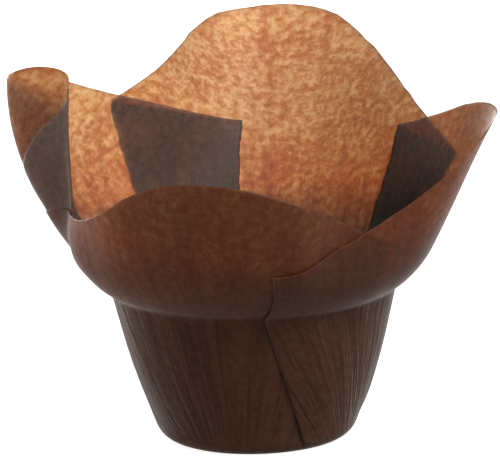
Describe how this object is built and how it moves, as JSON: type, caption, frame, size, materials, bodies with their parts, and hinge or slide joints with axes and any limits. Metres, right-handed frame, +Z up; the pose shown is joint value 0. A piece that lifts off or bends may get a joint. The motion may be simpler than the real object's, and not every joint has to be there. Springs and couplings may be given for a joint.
{
  "type": "paper cupcake liner",
  "caption": "Free-standing baking cup pressed from one square of brown greaseproof paper, with tall petal corners and folded pleats.",
  "frame": {"origin": "centre of the flat bottom, on the surface that the cup stands on", "axes": "+Z up along the cup's axis, +Y towards the tallest petal, +X towards the right petal"},
  "size_m": [0.1273, 0.1331, 0.0994],
  "materials": {
    "greaseproof_paper": "thin dyed greaseproof paper, matt to satin, lets light through"
  },
  "bodies": {
    "root": {"liner": "greaseproof_paper"}
  },
  "joints": []
}
